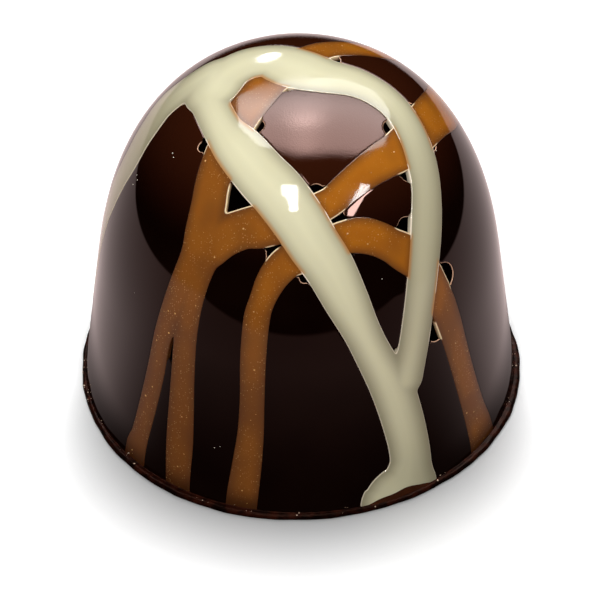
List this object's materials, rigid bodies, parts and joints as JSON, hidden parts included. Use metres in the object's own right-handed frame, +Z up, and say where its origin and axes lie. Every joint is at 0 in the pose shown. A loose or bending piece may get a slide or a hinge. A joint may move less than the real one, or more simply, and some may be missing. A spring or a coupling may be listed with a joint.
{
  "type": "chocolate praline",
  "caption": "Tall domed dark chocolate praline with a thin uneven foot at its flat base and white and caramel chocolate streaks set flush in its glossy moulded surface.",
  "frame": {"origin": "middle of the flat base, on the surface that the praline stands on", "axes": "+Z up along the dome's axis; -Y faces the viewer of the shown side, with the long white streak running down towards -Y and +X"},
  "size_m": [0.0285, 0.0286, 0.0232],
  "materials": {
    "dark_chocolate": "tempered dark chocolate, cast against a polished mould, high gloss",
    "white_chocolate": "ivory white chocolate streaks in the moulded surface, glossy",
    "caramel_chocolate": "caramel chocolate streaks with fine gold specks, in the moulded surface, glossy"
  },
  "bodies": {
    "root": {"moulded_praline": "dark_chocolate"}
  },
  "joints": []
}
